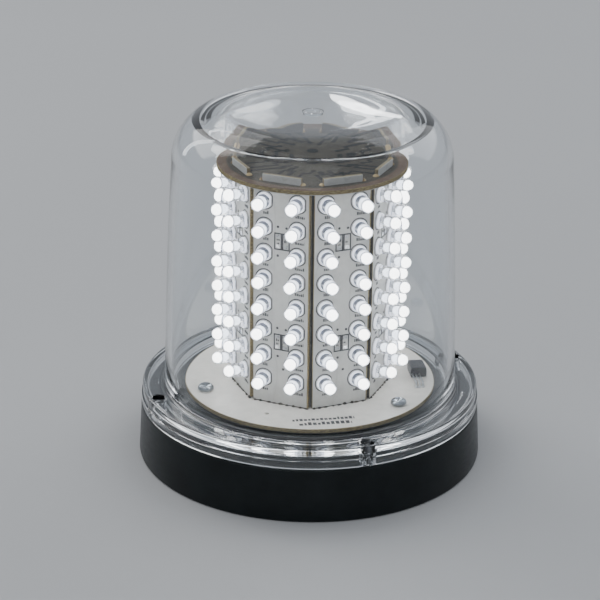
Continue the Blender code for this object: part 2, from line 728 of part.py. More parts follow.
def driver_parts():
    top = DRIVER_UNDER + BOARD_THICK
    bm = bmesh.new()
    centre = (0.0, 0.0, DRIVER_UNDER + 0.5 * BOARD_THICK)
    add_box(bm, centre, (2.0 * DRIVER_HALF_X, 2.0 * DRIVER_HALF_Y, BOARD_THICK))
    board = place("driver_board", mesh_from(bm, "driver_board"), "green_board")
    holes = bmesh.new()
    for side in (-1.0, 1.0):
        x, y = side * DRIVER_POST_X, side * DRIVER_POST_Y
        add_cylinder(holes, x, y, 1.6, DRIVER_UNDER - 1.0, top + 1.0, SMALL_STEPS)
    boolean(board, holes, "tool_driver_board", "DIFFERENCE")

    bm = bmesh.new()
    add_box(bm, (-12.0, 10.0, top + GAP + 4.5), (15.0, 8.0, 9.0))
    place("terminal_block", mesh_from(bm, "terminal_block"), "green_terminal")
    profile = [
        (0.0, top + GAP),
        (4.0, top + GAP),
        (4.0, top + GAP + 8.4),
        (3.5, top + GAP + 9.0),
        (0.0, top + GAP + 9.0),
    ]
    turned("capacitor", profile, "black_component", SMALL_STEPS, (10.0, -9.0, 0.0))


def main():
    clear_scene()
    base_housing()
    base_gasket()
    base_plate()
    cable_grommet()
    mount_inserts()
    dome_lens()
    dome_seal()
    bottom_board()
    top_board()
    led_boards()
    led_strings()
    regulator()
    driver_parts()
    screws()
    bpy.context.view_layer.update()


main()
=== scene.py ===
import math
import random

import bmesh
import bpy
from mathutils import Matrix, Vector, noise


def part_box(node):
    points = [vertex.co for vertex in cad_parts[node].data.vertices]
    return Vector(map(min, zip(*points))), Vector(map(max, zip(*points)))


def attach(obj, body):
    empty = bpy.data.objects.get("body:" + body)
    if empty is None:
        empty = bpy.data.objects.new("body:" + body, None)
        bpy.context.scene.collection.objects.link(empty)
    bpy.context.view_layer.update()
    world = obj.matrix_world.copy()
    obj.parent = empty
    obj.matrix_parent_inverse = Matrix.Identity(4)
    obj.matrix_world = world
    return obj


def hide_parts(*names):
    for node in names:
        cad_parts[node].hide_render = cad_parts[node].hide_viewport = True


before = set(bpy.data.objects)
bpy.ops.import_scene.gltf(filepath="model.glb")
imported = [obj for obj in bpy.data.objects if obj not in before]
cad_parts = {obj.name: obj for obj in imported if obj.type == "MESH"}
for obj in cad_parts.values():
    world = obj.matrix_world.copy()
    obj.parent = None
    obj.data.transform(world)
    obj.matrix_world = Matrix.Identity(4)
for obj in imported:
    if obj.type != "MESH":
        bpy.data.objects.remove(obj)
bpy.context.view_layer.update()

MM = 0.001

# Sizes in millimetres, in the CAD frame: Z up, the lamp's axis at x = y = 0.
_, base_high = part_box("base_housing")
lens_low, lens_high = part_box("dome_lens")
lower_low, lower_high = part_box("bottom_board")
upper_low, upper_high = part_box("top_board")
BASE_RADIUS = base_high[0] / MM
FLANGE_RADIUS = lens_high[0] / MM
FLANGE_BOTTOM = lens_low[2] / MM
LENS_TOP = lens_high[2] / MM
LOWER_RADIUS = lower_high[0] / MM
LOWER_TOP = lower_high[2] / MM
LOWER_UNDER = lower_low[2] / MM
UPPER_RADIUS = upper_high[0] / MM
UPPER_TOP = upper_high[2] / MM
UPPER_UNDER = upper_low[2] / MM

DECK_TOP = 20.6
DECK_UNDER = 17.6
BASE_BORE = 60.0  # inner radius of the base's wall
PLATEAU_RADIUS = 52.5
PLATEAU_TOP = base_high[2] / MM
SHELF_TOP = 28.5  # the dome's flange
SHELF_UNDER = 25.6
FOOT_OUTER = 56.2  # radii of the dome's wall at the flange
FOOT_INNER = 53.8
SKIRT_INNER = 62.8  # inner radius of the flange's skirt
SHOULDER = 19.0  # outer radius of the bend between wall and crown
WALL = 2.4
CROWN = 4.2  # thickness of the dome's flat top
CROWN_BEND = 13.7  # radius of the bend at the edge of the crown's underside
CROWN_FLAT = 30.2  # radius at which that bend begins
RING_MARK = (2.8, 4.0)  # inner and outer radius of the moulded ring under the crown
POST_CIRCLE = 61.0
POST_RADIUS = 3.1
POST_BEARINGS = (20.0, 110.0, 200.0, 290.0)
POST_FLOOR = 25.0  # height at which the dome screws' heads sit
SCREW_CIRCLE = 42.0
SCREW_BEARINGS = (52.0, 171.0, 290.0)
PLATE_UNDER, PLATE_TOP = 1.5, 4.5
PLATE_RADIUS = 59.6
PLATE_SCREW_CIRCLE = 53.0
PLATE_SCREW_BEARINGS = (45.0, 135.0, 225.0, 315.0)
INSERT_CIRCLE = 40.0
INSERT_BEARINGS = (0.0, 120.0, 240.0)
APOTHEM = 28.9  # from the axis to the LED boards' faces
BOARD_THICK = 1.6
BOARD_HALF = 11.15
TAB_HALF = 7.5
FOOT_TAB_HALF = 5.0
TAB_RISE = 2.5
BEARINGS = [22.5 + 45.0 * side for side in range(8)]
ROWS = [39.5 + 10.0 * row for row in range(8)]
COLUMN = 6.5  # from a board's middle line to each column of LEDs
STAND_OFF = 0.3  # gap between a piece and the face that it stands on

FULL = 144  # sides of the large turned pieces
random.seed(7)  # for the LEDs' small tilts and the drops of solder


# ---------------------------------------------------------------- mesh tools


def polar(radius, bearing, z=0.0):
    angle = math.radians(bearing)
    return Vector((radius * math.sin(angle), -radius * math.cos(angle), z))


def turned_data(profile, steps):
    """Vertices and faces of a profile of (radius, z) turned about Z."""
    verts, faces, rings = [], [], []
    for radius, z in profile:
        if radius < 1e-6:
            rings.append([len(verts)])
            verts.append(Vector((0.0, 0.0, z)))
            continue
        ring = []
        for step in range(steps):
            angle = 2.0 * math.pi * step / steps
            ring.append(len(verts))
            verts.append(Vector((radius * math.cos(angle), radius * math.sin(angle), z)))
        rings.append(ring)
    pairs = list(zip(rings, rings[1:]))
    if len(rings[0]) > 1 or len(rings[-1]) > 1:
        pairs.append((rings[-1], rings[0]))
    for low, high in pairs:
        if len(low) == 1 and len(high) == 1:
            continue
        for step in range(steps):
            after = (step + 1) % steps
            if len(low) == 1:
                faces.append((low[0], high[after], high[step]))
            elif len(high) == 1:
                faces.append((low[step], low[after], high[0]))
            else:
                faces.append((low[step], low[after], high[after], high[step]))
    return verts, faces


def disc_data(radius, low, high, steps=FULL):
    """A solid disc or pin about Z, from one height to another."""
    return turned_data([(0.0, low), (radius, low), (radius, high), (0.0, high)], steps)


def box_data(low, high):
    spans = list(zip(low, high))
    verts = [Vector((x, y, z)) for z in spans[2] for y in spans[1] for x in spans[0]]
    faces = [(0, 2, 3, 1), (4, 5, 7, 6), (0, 1, 5, 4), (2, 6, 7, 3), (0, 4, 6, 2), (1, 3, 7, 5)]
    return verts, faces


def prism_data(outline, depth):
    """A closed outline in X and Y, from z = 0 up to depth."""
    count = len(outline)
    verts = [Vector((x, y, z)) for z in (0.0, depth) for x, y in outline]
    faces = [tuple(reversed(range(count))), tuple(range(count, 2 * count))]
    for index in range(count):
        after = (index + 1) % count
        faces.append((index, after, count + after, count + index))
    return verts, faces


class Build:
    """Collects shapes in millimetres into one mesh."""

    def __init__(self):
        self.verts, self.faces = [], []

    def add(self, data, matrix=None):
        start = len(self.verts)
        verts, faces = data
        self.verts += [matrix @ v if matrix else v.copy() for v in verts]
        self.faces += [tuple(start + index for index in face) for face in faces]
        return self

    def data(self):
        return self.verts, self.faces

    def mesh(self, name):
        mesh = bpy.data.meshes.new(name)
        mesh.from_pydata([v * MM for v in self.verts], [], self.faces)
        bm = bmesh.new()
        bm.from_mesh(mesh)
        bmesh.ops.recalc_face_normals(bm, faces=bm.faces)
        bm.to_mesh(mesh)
        bm.free()
        mesh.update()
        return mesh


def put(name, mesh, material, replaces=(), matrix=None, sharp=32.0, bevel=0.0):
    """Adds a piece. Edges past the angle sharp stay sharp; bevel is the edge's width."""
    piece = bpy.data.objects.new(name, mesh)
    bpy.context.scene.collection.objects.link(piece)
    if matrix is not None:
        piece.matrix_world = matrix
    if not mesh.materials:
        mesh.materials.append(material)
    mesh.shade_smooth()
    mesh.set_sharp_from_angle(angle=math.radians(sharp))
    if bevel:
        modifier = piece.modifiers.new("edge", "BEVEL")
        modifier.width = bevel * MM
        modifier.segments = 2
        modifier.limit_method = "ANGLE"
        modifier.angle_limit = math.radians(40.0)
    bpy.context.view_layer.update()
    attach(piece, "root")
    if replaces:
        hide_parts(*replaces)
    return piece


def carve(mesh, tool_mesh, operation):
    """The mesh after an exact boolean with the tool's mesh."""
    item = bpy.data.objects.new("carved", mesh)
    tool = bpy.data.objects.new("carver", tool_mesh)
    for made in (item, tool):
        bpy.context.scene.collection.objects.link(made)
    modifier = item.modifiers.new("carve", "BOOLEAN")
    modifier.object = tool
    modifier.operation = operation
    modifier.solver = "EXACT"
    bpy.context.view_layer.update()
    graph = bpy.context.evaluated_depsgraph_get()
    result = bpy.data.meshes.new_from_object(item.evaluated_get(graph))
    bpy.data.objects.remove(item, do_unlink=True)
    bpy.data.objects.remove(tool, do_unlink=True)
    return result


def arc(centre, radius, start, end, steps):
    """Points of an arc in (radius, z), angles in degrees from outward."""
    points = []
    for step in range(steps + 1):
        angle = math.radians(start + (end - start) * step / steps)
        points.append((centre[0] + radius * math.cos(angle), centre[1] + radius * math.sin(angle)))
    return points


# ---------------------------------------------------------------- material tools


class Paint:
    """A Principled material with small helpers for its nodes, which read object coordinates."""

    def __init__(self, name, colour=(0.8, 0.8, 0.8), metallic=0.0):
        self.material = bpy.data.materials.new(name)
        self.material.use_nodes = True
        self.tree = self.material.node_tree
        self.shader = self.tree.nodes["Principled BSDF"]
        self.output = self.tree.nodes["Material Output"]
        self.set("Base Color", (*colour, 1.0))
        self.set("Metallic", metallic)
        self.where = self.tree.nodes.new("ShaderNodeTexCoord").outputs["Object"]

    def set(self, name, value):
        self.shader.inputs[name].default_value = value

    def link(self, source, name):
        self.tree.links.new(source, self.shader.inputs[name])

    def feed(self, socket, value):
        if isinstance(value, bpy.types.NodeSocket):
            self.tree.links.new(value, socket)
        elif isinstance(value, (tuple, list)):
            socket.default_value = (*value, 1.0) if len(value) == 3 else value
        else:
            socket.default_value = value

    def math(self, operation, first, second=0.0):
        node = self.tree.nodes.new("ShaderNodeMath")
        node.operation = operation
        for socket, value in zip(node.inputs, (first, second)):
            self.feed(socket, value)
        return node.outputs[0]

    def noise(self, scale, detail=3.0, rough=0.5, stretch=None):
        node = self.tree.nodes.new("ShaderNodeTexNoise")
        node.inputs["Scale"].default_value = scale
        node.inputs["Detail"].default_value = detail
        node.inputs["Roughness"].default_value = rough
        where = self.where
        if stretch:
            mapping = self.tree.nodes.new("ShaderNodeMapping")
            mapping.inputs["Scale"].default_value = stretch
            self.tree.links.new(where, mapping.inputs["Vector"])
            where = mapping.outputs[0]
        self.tree.links.new(where, node.inputs["Vector"])
        return node.outputs["Fac"]

    def step(self, value, low, high):
        """0 below low, 1 above high, smooth between."""
        node = self.tree.nodes.new("ShaderNodeMapRange")
        node.interpolation_type = "SMOOTHSTEP"
        self.feed(node.inputs["Value"], value)
        node.inputs["From Min"].default_value = low
        node.inputs["From Max"].default_value = high
        return node.outputs["Result"]

    def span(self, value, low, high):
        """Maps 0..1 to low..high."""
        node = self.tree.nodes.new("ShaderNodeMapRange")
        self.feed(node.inputs["Value"], value)
        node.inputs["To Min"].default_value = low
        node.inputs["To Max"].default_value = high
        return node.outputs["Result"]

    def mix(self, factor, first, second):
        node = self.tree.nodes.new("ShaderNodeMix")
        node.data_type = "RGBA"
        self.feed(node.inputs["Factor"], factor)
        colours = [s for s in node.inputs if s.type == "RGBA"]
        self.feed(colours[0], first)
        self.feed(colours[1], second)
        return next(s for s in node.outputs if s.type == "RGBA")

    def axes(self):
        """X, Y and Z in millimetres."""
        node = self.tree.nodes.new("ShaderNodeSeparateXYZ")
        self.tree.links.new(self.where, node.inputs[0])
        return [self.math("MULTIPLY", output, 1.0 / MM) for output in node.outputs]

    def distance(self, first, second):
        """How far a point is from the origin, along two axes."""
        squares = [self.math("MULTIPLY", value, value) for value in (first, second)]
        return self.math("SQRT", self.math("ADD", *squares))

    def bump(self, height, strength, distance):
        node = self.tree.nodes.new("ShaderNodeBump")
        node.inputs["Strength"].default_value = strength
        node.inputs["Distance"].default_value = distance
        self.tree.links.new(height, node.inputs["Height"])
        self.link(node.outputs[0], "Normal")

    def lets_lamps_through(self, tint):
        """Lamps shine through the clear piece, which still bends what is seen."""
        path = self.tree.nodes.new("ShaderNodeLightPath")
        clear = self.tree.nodes.new("ShaderNodeBsdfTransparent")
        clear.inputs["Color"].default_value = (*tint, 1.0)
        both = self.tree.nodes.new("ShaderNodeMixShader")
        self.tree.links.new(path.outputs["Is Shadow Ray"], both.inputs[0])
        self.tree.links.new(self.shader.outputs[0], both.inputs[1])
        self.tree.links.new(clear.outputs[0], both.inputs[2])
        self.tree.links.new(both.outputs[0], self.output.inputs["Surface"])


def black_plastic():
    p = Paint("black_plastic")
    p.set("Specular IOR Level", 0.22)
    cloud = p.noise(70.0, 5.0, 0.6)
    p.link(p.mix(p.step(cloud, 0.3, 0.7), (0.0022, 0.0042, 0.005), (0.006, 0.0095, 0.0108)), "Base Color")
    grain = p.noise(2600.0, 2.0)
    wear = p.noise(260.0, 4.0, 0.65, stretch=(1.0, 1.0, 3.0))
    mixed = p.math("ADD", p.math("MULTIPLY", wear, 0.22), p.math("MULTIPLY", grain, 0.08))
    p.link(p.math("ADD", mixed, 0.18), "Roughness")
    p.bump(grain, 0.16, 0.00006)
    return p.material


def clear_dome():
    p = Paint("clear_dome", (0.94, 0.965, 0.985))
    p.set("Transmission Weight", 1.0)
    p.set("IOR", 1.56)
    haze = p.noise(55.0, 4.0, 0.6)
    p.link(p.span(p.step(haze, 0.45, 0.8), 0.004, 0.03), "Roughness")
    wave = p.noise(38.0, 1.0, 0.4, stretch=(1.0, 1.0, 0.35))
    p.bump(wave, 0.1, 0.0004)
    p.lets_lamps_through((0.93, 0.945, 0.955))
    return p.material


def led_epoxy():
    p = Paint("led_epoxy", (0.985, 0.99, 1.0))
    p.set("Transmission Weight", 1.0)
    p.set("IOR", 1.5)
    swirl = p.noise(900.0, 2.0)
    p.link(p.span(swirl, 0.02, 0.1), "Roughness")
    p.bump(p.noise(420.0, 1.0), 0.12, 0.0002)
    p.lets_lamps_through((0.92, 0.93, 0.95))
    return p.material


def glowing(name, colour, strength, light, dark):
    """A lit surface: even emission over a mottled white ground."""
    p = Paint(name, light)
    patch = p.noise(1500.0, 3.0, 0.6)
    p.link(p.mix(p.step(patch, 0.35, 0.65), light, dark), "Base Color")
    p.link(p.span(patch, 0.35, 0.6), "Roughness")
    p.set("Emission Color", (*colour, 1.0))
    p.set("Emission Strength", strength)
    return p.material


def led_seat_painted_shade():
    """Painted shade: the dark floor of an LED's flange, under the clear lens, where the lens shows shade.
    """
    p = Paint("led_seat_painted_shade")
    cloud = p.noise(1200.0, 3.0, 0.6)
    p.link(p.mix(p.step(cloud, 0.35, 0.65), (0.13, 0.145, 0.19), (0.24, 0.26, 0.32)), "Base Color")
    p.link(p.span(cloud, 0.25, 0.5), "Roughness")
    return p.material


def bright_metal(name, colour, roughness, brush=None):
    """Metal with uneven shine; brush stretches its grain along an axis."""
    p = Paint(name, colour, 1.0)
    cloud = p.noise(420.0, 4.0, 0.6)
    darker = tuple(0.72 * c for c in colour)
    p.link(p.mix(p.step(cloud, 0.35, 0.7), colour, darker), "Base Color")
    fine = p.noise(1800.0, 3.0, 0.6, stretch=brush)
    p.link(p.span(fine, max(roughness - 0.16, 0.05), roughness + 0.16), "Roughness")
    p.bump(fine, 0.2, 0.00004)
    return p.material


def rubber():
    p = Paint("rubber")
    cloud = p.noise(160.0, 4.0, 0.6)
    p.link(p.mix(cloud, (0.012, 0.012, 0.013), (0.03, 0.03, 0.031)), "Base Color")
    grain = p.noise(3000.0, 2.0)
    p.link(p.span(grain, 0.65, 0.9), "Roughness")
    p.bump(grain, 0.3, 0.0001)
    return p.material


def moulded_epoxy():
    p = Paint("moulded_epoxy")
    grain = p.noise(4000.0, 3.0, 0.7)
    p.link(p.mix(grain, (0.01, 0.01, 0.012), (0.03, 0.03, 0.034)), "Base Color")
    p.link(p.span(grain, 0.25, 0.5), "Roughness")
    p.bump(grain, 0.4, 0.00004)
    return p.material


def mask_shine(p, roughness):
    """Solder mask: slightly uneven, with a faint glass weave below it."""
    cloud = p.noise(220.0, 4.0, 0.6)
    p.link(p.span(cloud, roughness - 0.08, roughness + 0.1), "Roughness")
    weave = p.noise(1500.0, 2.0)
    p.bump(weave, 0.1, 0.00005)
    return cloud


FIBRE_DARK = (0.14, 0.098, 0.032)
FIBRE_LIGHT = (0.36, 0.28, 0.12)


def fibre(p):
    """Bare board: layered tan glass fibre."""
    layers = p.noise(900.0, 3.0, 0.6, stretch=(1.0, 1.0, 4.0))
    return p.mix(p.step(layers, 0.35, 0.65), FIBRE_DARK, FIBRE_LIGHT)


def led_board_mask():
    """White mask on the front, bare margins, cut sides bare at the right and painted shade at the left, a
    dark back.
    """
    p = Paint("led_board_mask")
    x, y, z = p.axes()
    cloud = mask_shine(p, 0.42)
    white = p.mix(p.step(cloud, 0.3, 0.75), (0.60, 0.59, 0.555), (0.52, 0.51, 0.48))
    # The copper under the mask shows as faint darker lines.
    lines = p.noise(120.0, 0.0, stretch=(1.0, 1.0, 0.25))
    track = p.math("ABSOLUTE", p.math("SUBTRACT", lines, 0.5))
    white = p.mix(p.step(track, 0.0, 0.02), (0.50, 0.49, 0.455), white)
    # Bare margins on the front, a little wider at the right edge.
    edge = p.step(x, 10.6, 10.7)
    edge = p.math("MAXIMUM", edge, p.step(p.math("MULTIPLY", x, -1.0), 10.85, 10.95))
    front = p.mix(edge, white, fibre(p))
    # The cut sides are bare at the right; at the left they are painted near-black, painted shade for the
    # dark gap between boards. The back's mask is dark.
    depth = p.step(y, -APOTHEM + 0.1, -APOTHEM + 0.2)
    tab = p.step(z, UPPER_TOP - 0.1, UPPER_TOP)
    bare = p.math("MAXIMUM", tab, p.step(x, 7.0, 7.2))
    side = p.mix(bare, (0.012, 0.009, 0.006), fibre(p))
    # Near-black here is painted shade on the left cut side.
    back = -APOTHEM + BOARD_THICK
    cut = p.mix(p.step(y, back - 0.2, back - 0.1), side, (0.045, 0.034, 0.03))
    p.link(p.mix(depth, front, cut), "Base Color")
    return p.material


def lower_board_mask():
    """White foot board, with a bare rim and cut edge."""
    p = Paint("lower_board_mask")
    x, y, _ = p.axes()
    cloud = mask_shine(p, 0.36)
    top = p.mix(p.step(cloud, 0.3, 0.75), (0.80, 0.765, 0.70), (0.70, 0.67, 0.61))
    rim = p.step(p.distance(x, y), LOWER_RADIUS - 0.35, LOWER_RADIUS - 0.2)
    p.link(p.mix(rim, top, fibre(p)), "Base Color")
    return p.material


def upper_board_mask():
    """Dark head board, with a lighter brown margin painted as if lit through from the LEDs below, a bare
    edge and a white underside.
    """
    p = Paint("upper_board_mask")
    p.set("Specular IOR Level", 0.04)
    x, y, z = p.axes()
    cloud = mask_shine(p, 0.6)
    field = p.mix(p.step(cloud, 0.35, 0.7), (0.044, 0.037, 0.025), (0.078, 0.067, 0.048))
    reach = p.distance(x, y)
    # Between the slots and the edge: an unmasked margin, painted lighter brown as painted light, as if
    # the LEDs below shone up through the board.
    outer = p.mix(p.step(cloud, 0.3, 0.7), (0.12, 0.075, 0.05), (0.18, 0.125, 0.085))
    field = p.mix(p.step(reach, 31.2, 32.6), field, outer)
    field = p.mix(p.step(reach, UPPER_RADIUS - 0.35, UPPER_RADIUS - 0.2), field, fibre(p))
    under = p.step(p.math("MULTIPLY", z, -1.0), -UPPER_UNDER - 0.25, -UPPER_UNDER - 0.1)
    field = p.mix(under, field, (0.5, 0.49, 0.46))
    p.link(field, "Base Color")
    return p.material


def track_mask():
    """Dark lines that show the head board's copper through its mask."""
    p = Paint("track_mask")
    p.set("Specular IOR Level", 0.04)
    cloud = mask_shine(p, 0.6)
    p.link(p.mix(p.step(cloud, 0.35, 0.7), (0.003, 0.003, 0.003), (0.009, 0.008, 0.006)), "Base Color")
    return p.material


def ink():
    p = Paint("board_ink")
    fade = p.noise(700.0, 3.0, 0.6)
    p.link(p.mix(p.step(fade, 0.4, 0.75), (0.008, 0.008, 0.01), (0.055, 0.055, 0.06)), "Base Color")
    p.link(p.span(fade, 0.5, 0.75), "Roughness")
    return p.material


def solder(name, colour, burnt, metallic):
    """Lumpy solder, stained by burnt flux."""
    p = Paint(name, colour, metallic)
    flux = p.noise(500.0, 4.0, 0.6)
    p.link(p.mix(p.step(flux, 0.42, 0.65), colour, burnt), "Base Color")
    p.link(p.span(flux, 0.15, 0.55), "Roughness")
    p.bump(flux, 0.4, 0.0002)
    return p.material


def tinted_plastic(name, colour):
    """Evenly coloured plastic or mask with cloudy shade."""
    p = Paint(name, colour)
    cloud = p.noise(200.0, 4.0, 0.6)
    p.link(p.mix(cloud, colour, tuple(0.6 * c for c in colour)), "Base Color")
    p.link(p.span(cloud, 0.25, 0.5), "Roughness")
    return p.material


M_BLACK = black_plastic()
M_DOME = clear_dome()
M_EPOXY = led_epoxy()
M_TIP = glowing("led_tip", (1.0, 0.985, 0.95), 7.0, (1.0, 0.97, 0.9), (0.9, 0.93, 1.0))
M_CORE = glowing("led_core", (0.88, 0.93, 1.0), 3.2, (0.85, 0.9, 1.0), (0.6, 0.68, 0.82))
M_RIM = glowing("led_rim", (0.92, 0.94, 1.0), 1.35, (0.9, 0.92, 1.0), (0.62, 0.66, 0.78))
M_PAINTED_SHADE_SEAT = led_seat_painted_shade()
M_TRACK = track_mask()
M_TIN = bright_metal("tinned_lead", (0.62, 0.63, 0.64), 0.3)
M_ZINC = bright_metal("zinc_screw", (0.36, 0.39, 0.42), 0.2, brush=(1.0, 1.0, 6.0))
M_DARK = bright_metal("dark_screw", (0.15, 0.155, 0.165), 0.32)
M_BRASS = bright_metal("turned_brass", (0.78, 0.57, 0.25), 0.28, brush=(1.0, 1.0, 8.0))
M_RUBBER = rubber()
M_EPOXY_BLACK = moulded_epoxy()
M_LED_BOARD = led_board_mask()
M_LOWER = lower_board_mask()
M_UPPER = upper_board_mask()
M_INK = ink()
M_SOLDER = solder("solder_joint", (0.6, 0.45, 0.22), (0.16, 0.09, 0.03), 0.85)
# This dark colour serves the foot's solder drops and a strip of painted shadow.
M_SEAM_AND_SHADOW = solder("solder_seam_and_shadow", (0.06, 0.045, 0.03), (0.008, 0.006, 0.005), 0.3)
M_GREEN = tinted_plastic("driver_mask", (0.03, 0.16, 0.07))
M_TERMINAL = tinted_plastic("terminal_plastic", (0.05, 0.32, 0.12))


# ---------------------------------------------------------------- base


def make_base():
    top = BASE_RADIUS - 1.1
    profile = [(0.0, PLATEAU_TOP - 3.0), (49.0, PLATEAU_TOP - 3.0), (49.0, DECK_UNDER)]
    profile += [(BASE_BORE, DECK_UNDER), (BASE_BORE, 0.0)]
    # The gasket's groove in the rim.
    profile += [(60.9, 0.0), (60.9, 2.0), (64.3, 2.0), (64.3, 0.0)]
    profile += arc((BASE_RADIUS - 1.0, 1.0), 1.0, -90.0, 0.0, 5)
    profile += [(BASE_RADIUS - 0.45, 9.0), (top + 0.02, DECK_TOP - 0.7)]
    profile += arc((top - 0.6, DECK_TOP - 0.6), 0.6, 10.0, 90.0, 4)
    profile += [(58.0, DECK_TOP), (PLATEAU_RADIUS + 0.5, DECK_TOP), (PLATEAU_RADIUS, DECK_TOP + 0.5)]
    # The seal's groove round the plateau.
    profile += [(PLATEAU_RADIUS, 22.4), (51.0, 22.4), (51.0, 25.2), (PLATEAU_RADIUS, 25.2)]
    profile += arc((PLATEAU_RADIUS - 0.7, PLATEAU_TOP - 0.7), 0.7, 0.0, 90.0, 4)
    profile += [(0.0, PLATEAU_TOP)]
    mesh = Build().add(turned_data(profile, FULL)).mesh("base_shell")
    put("base_shell", mesh, M_BLACK, ["base_housing"], sharp=40.0)

    ring = arc((PLATEAU_RADIUS + 0.1, 23.8), 1.0, 0.0, 345.0, 23)
    mesh = Build().add(turned_data(ring, FULL)).mesh("dome_seal_ring")
    put("dome_seal_ring", mesh, M_RUBBER, ["dome_seal"])


def make_underside():
    gasket = [(61.2, 0.0), (64.0, 0.0), (64.0, 1.7), (61.2, 1.7)]
    mesh = Build().add(turned_data(gasket, FULL)).mesh("gasket_ring")
    put("gasket_ring", mesh, M_RUBBER, ["base_gasket"], bevel=0.15)

    plate = [(0.0, PLATE_UNDER), (PLATE_RADIUS - 0.4, PLATE_UNDER), (PLATE_RADIUS, PLATE_UNDER + 0.4)]
    plate += [(PLATE_RADIUS, PLATE_TOP), (0.0, PLATE_TOP)]
    mesh = Build().add(turned_data(plate, FULL)).mesh("closing_plate")
    low, high = PLATE_UNDER - 1.0, PLATE_TOP + 1.0
    holes = Build()
    holes.add(disc_data(7.0, low, high, 48))
    for bearing in INSERT_BEARINGS:
        holes.add(disc_data(4.8, low, high, 48), Matrix.Translation(polar(INSERT_CIRCLE, bearing)))
    for bearing in PLATE_SCREW_BEARINGS:
        hole = turned_data([(0.0, low), (2.9, low), (2.9, 3.0), (1.6, 3.0), (1.6, high), (0.0, high)], 32)
        holes.add(hole, Matrix.Translation(polar(PLATE_SCREW_CIRCLE, bearing)))
    mesh = carve(mesh, holes.mesh("plate_holes"), "DIFFERENCE")
    put("closing_plate", mesh, M_BLACK, ["base_plate"])

    grommet = [(4.0, 0.6), (4.4, 0.2), (9.1, 0.2), (9.5, 0.5), (9.5, 1.2), (6.7, 1.2)]
    grommet += [(6.7, 4.8), (9.5, 4.8), (9.3, 5.6), (8.7, 6.3), (4.4, 6.3), (4.0, 5.9)]
    mesh = Build().add(turned_data(grommet, 64)).mesh("grommet")
    put("grommet", mesh, M_RUBBER, ["cable_grommet"])

    # Inside, the thread's turns; outside, a collar above the plate.
    insert = [(0.0, 8.8), (2.5, 8.8)]
    for turn in range(8):
        insert += [(2.5, 8.0 - turn), (2.8, 7.5 - turn)]
    insert += [(2.9, 0.0), (4.2, 0.0), (4.5, 0.3), (4.5, 4.8), (6.0, 4.8)]
    insert += [(6.0, 6.6), (4.5, 6.6), (4.5, 10.0), (0.0, 10.0)]
    for number, bearing in enumerate(INSERT_BEARINGS, 1):
        at = Matrix.Translation(polar(INSERT_CIRCLE, bearing))
        mesh = Build().add(turned_data(insert, 48), at).mesh("insert")
        put(f"threaded_insert_{number}", mesh, M_BRASS, [f"mount_insert_{number}"])


# ---------------------------------------------------------------- screws


def cross_tool(arm, half, depth, top):
    """A tapered cross, as a cross-head driver fits: half is half the width of an arm."""
    outline = []
    for quarter in range(4):
        turn = Matrix.Rotation(math.radians(90.0 * quarter), 2)
        for point in ((half, half), (half, arm), (-half, arm)):
            outline.append(tuple(turn @ Vector(point)))
    count = len(outline)
    verts = [Vector((x * 0.35, y * 0.35, top - depth)) for x, y in outline]
    verts += [Vector((x * 1.1, y * 1.1, top + 0.5)) for x, y in outline]
    faces = [tuple(range(count)), tuple(reversed(range(count, 2 * count)))]
    for index in range(count):
        after = (index + 1) % count
        faces.append((index, count + index, count + after, after))
    return verts, faces


def make_screws():
    # Pan heads with a cross recess, on the lower board.
    head = [(0.0, -11.0), (1.3, -11.0), (1.3, 0.0), (2.85, 0.0), (3.0, 0.2)]
    for step in range(1, 9):
        angle = math.radians(90.0 * step / 8.0)
        head.append((1.3 + 1.7 * math.cos(angle), 0.5 + 1.6 * math.sin(angle)))
    head.append((0.0, 2.1))
    mesh = Build().add(turned_data(head, 48)).mesh("pan_head")
    tool = Build().add(cross_tool(1.9, 0.45, 1.5, 2.1)).mesh("cross")
    mesh = carve(mesh, tool, "DIFFERENCE")
    for number, bearing in enumerate(SCREW_BEARINGS, 1):
        at = Matrix.Translation(polar(SCREW_CIRCLE, bearing, LOWER_TOP + STAND_OFF) * MM)
        at = at @ Matrix.Rotation(math.radians(bearing + 27.0 * number), 4, "Z")
        put(f"pan_screw_{number}", mesh, M_ZINC, [f"board_screw_{number}"], at)

    # Slotted heads, sunk in the dome's posts.
    head = [(0.0, -11.5), (1.3, -11.5), (1.3, 0.0), (2.1, 0.0)]
    head += [(2.1, 1.1), (1.9, 1.55), (1.5, 1.7), (0.0, 1.7)]
    mesh = Build().add(turned_data(head, 32)).mesh("slot_head")
    tool = Build().add(box_data((-2.5, -0.3, 0.9), (2.5, 0.3, 2.5))).mesh("slot")
    mesh = carve(mesh, tool, "DIFFERENCE")
    for number, bearing in enumerate(POST_BEARINGS, 1):
        at = Matrix.Translation(polar(POST_CIRCLE, bearing, POST_FLOOR + STAND_OFF) * MM)
        at = at @ Matrix.Rotation(math.radians(45.0 + 90.0 * (number % 2)), 4, "Z")
        put(f"slot_screw_{number}", mesh, M_DARK, [f"dome_screw_{number}"], at)

    # Cross heads that point down, in the closing plate.
    head = [(0.0, 10.5), (1.2, 10.5), (1.2, 0.0), (2.6, 0.0), (2.5, -0.9), (1.9, -1.5), (0.0, -1.6)]
    mesh = Build().add(turned_data(head, 32)).mesh("plate_head")
    tool = Build().add(cross_tool(1.5, 0.35, 1.1, 1.6), Matrix.Rotation(math.pi, 4, "X")).mesh("cross")
    mesh = carve(mesh, tool, "DIFFERENCE")
    for number, bearing in enumerate(PLATE_SCREW_BEARINGS, 1):
        at = Matrix.Translation(polar(PLATE_SCREW_CIRCLE, bearing, 2.7) * MM)
        put(f"under_screw_{number}", mesh, M_ZINC, [f"plate_screw_{number}"], at)


# ---------------------------------------------------------------- dome


def dome_radius(z):
    """The wall's outer radius, which draws in faster towards the top."""
    rise = (z - SHELF_TOP) / 90.0
    return FOOT_OUTER - 1.9 * rise - 1.75 * rise * rise


